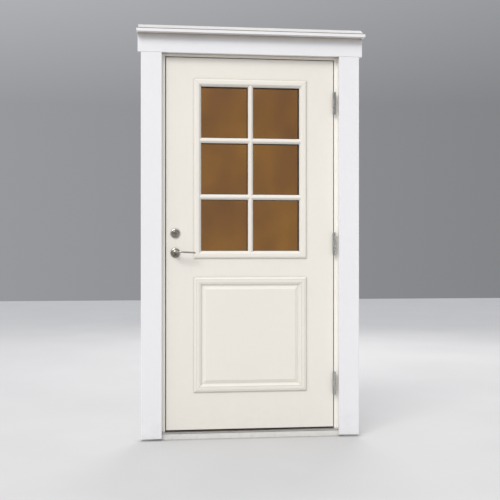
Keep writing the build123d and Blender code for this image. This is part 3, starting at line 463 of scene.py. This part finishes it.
def spacer(name, color):
    """The metal bar between the panes, with its rows of breathing holes."""
    s = Shader(name)
    dots = s.node("ShaderNodeTexVoronoi", feature="F1")
    s.put(dots.inputs["Vector"], s.place)
    dots.inputs["Scale"].default_value = 330.0
    dots.inputs["Randomness"].default_value = 0.0
    hole = s.span(dots.outputs["Distance"], 0.10, 0.16)
    haze = s.noise(130.0, 4.0)
    tone = s.mix(hole, rgba(color, 0.2), rgba(color))
    tone = s.mix(s.span(haze, 0.3, 0.7, 0.0, 0.4), tone, rgba(color, 0.75))
    return s.finish(tone, s.span(haze, 0.3, 0.7, 0.4, 0.55), s.bump(hole, 0.0002),
                    Metallic=1.0)


def sill_metal(name, color):
    """Anodised sill strip, brushed along its length, scuffed where feet cross it."""
    s = Shader(name)
    lines = s.lined((14.0, 2200.0, 2200.0), 4.0)
    scuff = s.noise(1.0, 6.0, 0.8, s.stretch((30.0, 160.0, 160.0)))
    middle = s.span(s.math("ABSOLUTE", s.axes()[0]), 0.05, 0.42, 1.0, 0.15, "SMOOTHSTEP")
    rubbed = s.times(s.span(scuff, 0.52, 0.70), middle)
    tone = s.mix(s.span(lines, 0.3, 0.75, 0.0, 0.5), rgba(color), rgba(color, 0.72))
    tone = s.mix(s.times(rubbed, 0.6), tone, rgba((0.36, 0.34, 0.31)))
    # Stains and painted shade: darker in the strip's corners
    tone = s.mix(s.times(s.crevice(0.01), 0.6), tone, rgba((0.20, 0.18, 0.16)))
    finish = s.math("ADD", s.span(lines, 0.3, 0.8, 0.30, 0.42), s.times(rubbed, 0.2))
    return s.finish(tone, finish, s.bump(lines, 0.00003), Metallic=1.0, Anisotropic=0.4)


def floor_coat(name):
    """Pale matt floor, with painted contact shadow where a piece stands on it."""
    s = Shader(name)
    cloud = s.noise(1.3, 3.0)
    tone = s.mix(s.span(cloud, 0.3, 0.7), rgba((0.54, 0.535, 0.53)),
                 rgba((0.57, 0.565, 0.56)))
    tone = s.mix(s.times(s.crevice(0.05), 0.9), tone, rgba((0.12, 0.11, 0.10)))
    return s.finish(tone, s.span(cloud, 0.3, 0.7, 0.65, 0.8))


def dress(material, *names):
    """Gives the named nodes one material."""
    for name in names:
        nodes[name].data.materials.clear()
        nodes[name].data.materials.append(material)


# Painted timber of the frame and the casings
dress(Paint("trim_upright", TRIM, 0.40, "Z").splashed(0.35).dry(),
      "casing_lock_side", "casing_hinge_side")
dress(Paint("trim_level", TRIM, 0.40, "X").shaded(0.9).dusty_and_shaded(0.75).dry(),
      "casing_header", "drip_cap")
dress(Paint("frame_upright", FRAME, 0.42, "Z").greased_and_shaded(0.95).splashed(0.3).worn(0.5).dry(),
      "jamb_lock_side", "jamb_hinge_side", "lining_lock_side", "lining_hinge_side")
dress(Paint("frame_level", FRAME, 0.42, "X").shaded(0.25).dry(), "frame_head")
# The lining's head is painted darker than the frame: painted shade under the header
dress(Paint("lining_level_shaded", LINING_SHADED, 0.42, "X").shaded(1.0).dry(), "lining_head")
dress(Paint("sill_paint_worn", SILL, 0.5, "X").splashed(0.6).worn(1.0).dry(), "threshold")

# Painted boards, mouldings and bars of the leaf
face = Paint("leaf_face", LEAF, 0.38, "Z", 0.8)
dress(face.soiled_and_shadowed(0.6).greased_and_shaded(0.7).splashed(0.18).worn(0.35).dry(),
      "skin_outer", "skin_inner", "stile_lock_side", "stile_hinge_side")
glazing_profile = Paint("glazing_profile", LEAF, 0.38, None, 0.5)
dress(glazing_profile.soiled_and_shadowed(0.6).mitred("glazing_moulding_outer").dry(),
      "glazing_moulding_outer", "glazing_moulding_inner")
dress(Paint("glazing_bar_upright", LEAF, 0.38, "Z", 0.6).dry(),
      "bar_upright_outer", "bar_upright_inner")
dress(Paint("glazing_bar_level", LEAF, 0.38, "X", 0.6).dry(),
      "bars_cross_outer", "bars_cross_inner")
panel_profile = Paint("panel_profile", LEAF, 0.38, None, 0.5)
dress(panel_profile.soiled_and_shadowed(0.6).splashed(0.15).mitred("panel_moulding_outer").dry(),
      "panel_moulding_outer", "panel_moulding_inner")
dress(Paint("panel_field", LEAF, 0.38, "Z", 0.6).splashed(0.15).dry(),
      "raised_field_outer", "raised_field_inner")

# Core, sealed unit and seals
dress(timber("softwood", (0.68, 0.50, 0.30), (0.48, 0.31, 0.16)),
      "rail_top", "rail_middle", "rail_bottom", "aperture_posts")
dress(foam("rigid_foam", (0.86, 0.80, 0.60)), "insulation")
# The amber tint stands in for the warmly lit room behind the glass: painted light
dress(pane_glass("pane_glass", (0.95, 0.725, 0.445)),
      "glass_outer", "glass_middle", "glass_inner")
dress(spacer("spacer_bar", (0.55, 0.56, 0.57)), "glass_spacers")
dress(rubber("black_rubber", (0.030, 0.027, 0.025), (0.30, 0.28, 0.25)), "glazing_gaskets")
dress(rubber("beige_rubber", (0.74, 0.69, 0.60), (0.80, 0.77, 0.70)), "frame_seals")

# Sill strip, hinges, lock and handles
dress(sill_metal("anodised_sill", (0.62, 0.62, 0.62)), "threshold_plate")
dress(steel("hinge_zinc", (0.52, 0.53, 0.525), 0.24, UPRIGHT_BRUSHING),
      "hinge_frame_plates", "hinge_leaf_plates", "hinge_pins", "hinge_rings")
dress(steel("plate_metal", (0.20, 0.185, 0.165), 0.38, UPRIGHT_BRUSHING),
      "strike_plate", "lock_forend")
dress(steel("lock_metal", (0.60, 0.585, 0.56), 0.32, UPRIGHT_BRUSHING, 0.3),
      "lock_case", "lock_follower", "spindle", "latch_bolt", "dead_bolt")
# The handles and roses get the strongest painted shade on faces that look down, the cylinder
# about half
dress(steel("furniture_metal", (0.48, 0.455, 0.42), 0.17, LEVER_BRUSHING, 0.4, 0.95),
      "handle_outer", "handle_inner", "handle_roses", "turn_rose", "thumbturn")
dress(steel("cylinder_metal", (0.62, 0.585, 0.54), 0.26, TURNED_BRUSHING, 0.6, 0.5),
      "cylinder_rose", "cylinder_housing")
dress(steel("plug_metal", (0.34, 0.31, 0.27), 0.30, TURNED_BRUSHING, 0.6), "cylinder_plug")


# Screws, made in detail on the axes of the plain ones
def loose_solids(node):
    """The points of each separate solid in a node's mesh, from the lowest solid up."""
    mesh = bmesh.new()
    mesh.from_mesh(node.data)
    bmesh.ops.remove_doubles(mesh, verts=mesh.verts, dist=SAME_POINT)
    waiting, solids = set(mesh.verts), []
    while waiting:
        reached = [waiting.pop()]
        for vertex in reached:
            for edge in vertex.link_edges:
                other = edge.other_vert(vertex)
                if other in waiting:
                    waiting.remove(other)
                    reached.append(other)
        solids.append([vertex.co.copy() for vertex in reached])
    mesh.free()
    return sorted(solids, key=lambda points: min(point.z for point in points))


def ring(mesh, radius, depth):
    turns = [math.tau * step / ROUND_STEPS for step in range(ROUND_STEPS)]
    return [mesh.verts.new((radius * math.cos(turn), radius * math.sin(turn), depth))
            for turn in turns]


def cross(mesh, reach, half, depth):
    """The twelve corners of a cross with arms of one reach and half width."""
    arm = [(reach, -half), (reach, half), (half, half)]
    spots = [Matrix.Rotation(math.radians(90 * quarter), 2) @ Vector(spot)
             for quarter in range(4) for spot in arm]
    return [mesh.verts.new((spot.x, spot.y, depth)) for spot in spots]


def bridge(mesh, upper, lower, smooth=False):
    """Joins two loops of as many points by a band of faces."""
    for index in range(len(upper)):
        after = (index + 1) % len(upper)
        face = mesh.faces.new((upper[index], lower[index], lower[after], upper[after]))
        face.smooth = smooth


def add_head(mesh):
    """The flat head with its recess, and the loop where the shank starts."""
    rim = ring(mesh, SCREW_HEAD, 0)
    mouth = cross(mesh, RECESS_REACH, RECESS_HALF, 0)
    floor = cross(mesh, RECESS_FLOOR_REACH, RECESS_FLOOR_HALF, -RECESS_DEPTH)
    border = [mesh.edges.new((loop[i], loop[(i + 1) % len(loop)]))
              for loop in (rim, mouth) for i in range(len(loop))]
    bmesh.ops.triangle_fill(mesh, edges=border, use_beauty=True)
    bridge(mesh, mouth, floor)
    mesh.faces.new(floor)
    neck = ring(mesh, SCREW_THREAD, -SCREW_HEAD_DEPTH)
    bridge(mesh, rim, neck, True)
    return neck


def add_shank(mesh, neck, length):
    """The threaded shank, which tapers to its point over the last stretch."""
    upper, depth = neck, -SCREW_HEAD_DEPTH
    step = SCREW_PITCH / THREAD_STEPS
    while depth - step > -length:
        depth -= step
        taper = min(1.0, (depth + length) / SCREW_POINT)
        core = SCREW_CORE * taper
        lower = ring(mesh, core, depth)
        for index, vertex in enumerate(lower):
            phase = (depth / SCREW_PITCH - index / ROUND_STEPS) % 1
            share = max(0.0, 1 - abs(2 * phase - 1) / RIDGE_SHARE)
            ridge = (SCREW_THREAD - SCREW_CORE) * share * taper
            vertex.co.xy *= 1 + ridge / core
        bridge(mesh, upper, lower, True)
        upper = lower
    mesh.faces.new(upper)


def add_screw(mesh, length, place):
    """One screw, made with its head at z = 0 and its point down, moved to its place."""
    before = set(mesh.verts)
    add_shank(mesh, add_head(mesh), length)
    added = [vertex for vertex in mesh.verts if vertex not in before]
    bmesh.ops.transform(mesh, matrix=place, verts=added)


def detailed_screws(name, body, faces_right):
    """Replaces a node's plain screws by detailed ones that lie along X."""
    mesh = bmesh.new()
    for number, points in enumerate(loose_solids(nodes[name])):
        low = [min(point[axis] for point in points) for axis in range(3)]
        high = [max(point[axis] for point in points) for axis in range(3)]
        head = Vector((high[0] if faces_right else low[0], (low[1] + high[1]) / 2,
                       (low[2] + high[2]) / 2))
        out = Matrix.Rotation(math.radians(90 if faces_right else -90), 4, "Y")
        spin = Matrix.Rotation(math.radians(SCREW_SPIN * number), 4, "Z")
        add_screw(mesh, high[0] - low[0], Matrix.Translation(head) @ out @ spin)
    bmesh.ops.recalc_face_normals(mesh, faces=mesh.faces)
    data = bpy.data.meshes.new(name + "_detailed")
    mesh.to_mesh(data)
    mesh.free()
    data.materials.append(screw_metal)
    piece = bpy.data.objects.new(name + "_detailed", data)
    bpy.context.scene.collection.objects.link(piece)
    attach(piece, body)
    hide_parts(name)


screw_metal = steel("screw_zinc", (0.58, 0.58, 0.57), 0.30, SCREW_BRUSHING)
detailed_screws("hinge_frame_screws", "frame", False)
detailed_screws("hinge_leaf_screws", "leaf", True)
detailed_screws("strike_screws", "frame", True)
detailed_screws("forend_screws", "leaf", False)


# Floor, light and camera
def add_floor():
    mesh = bpy.data.meshes.new("floor")
    half, level = FLOOR_HALF, cad_bounds[0].z - FLOOR_DROP
    corners = [(-half, -half, level), (half, -half, level), (half, half, level),
               (-half, half, level)]
    mesh.from_pydata(corners, [], [(0, 1, 2, 3)])
    mesh.materials.append(floor_coat("pale_floor"))
    floor = bpy.data.objects.new("floor", mesh)
    bpy.context.scene.collection.objects.link(floor)


def add_light(name, place, target, size, power, color):
    """A soft rectangular light, seen neither by the camera nor through the glass."""
    data = bpy.data.lights.new(name, "AREA")
    data.shape = "RECTANGLE"
    data.size, data.size_y = size
    data.energy = power
    data.color = color
    lamp = bpy.data.objects.new(name, data)
    lamp.location = place
    lamp.visible_camera = False
    lamp.visible_transmission = False
    way = Vector(target) - Vector(place)
    lamp.rotation_euler = way.to_track_quat("-Z", "Y").to_euler()
    bpy.context.scene.collection.objects.link(lamp)


def add_sky():
    """A plain surround, brighter upwards and towards the left."""
    world = bpy.data.worlds.new("studio")
    bpy.context.scene.world = world
    world.use_nodes = True
    s = Nodes(world.node_tree, "Generated")
    across, _, up = s.axes()
    strength = s.times(s.span(up, *SKY_BY_HEIGHT), s.span(across, *SKY_BY_SIDE))
    backdrop = world.node_tree.nodes["Background"]
    s.put(backdrop.inputs["Color"], rgba(SKY_COLOR))
    s.put(backdrop.inputs["Strength"], strength)


def add_camera():
    data = bpy.data.cameras.new("camera")
    data.lens = CAMERA_LENS
    data.sensor_width = CAMERA_SENSOR
    data.sensor_fit = "HORIZONTAL"
    camera = bpy.data.objects.new("camera", data)
    camera.location = CAMERA_PLACE
    camera.rotation_euler = (math.radians(90), 0, math.radians(-CAMERA_YAW))
    bpy.context.scene.collection.objects.link(camera)
    bpy.context.scene.camera = camera
    bpy.context.scene.view_settings.view_transform = "Standard"


add_floor()
add_light("key", (-5.8, -11.2, 12.4), (0, 0, 1.0), (8.5, 6.5), 1650.0, (1.0, 0.985, 0.96))
add_light("fill", (3.0, -5.4, 0.9), (0, 0, 0.6), (2.0, 1.6), 26.0, (1.0, 0.985, 0.96))
add_light("back", (1.5, 5.0, 4.2), (0, 0, 1.0), (3.0, 3.0), 120.0, (1.0, 0.99, 0.97))
add_sky()
add_camera()
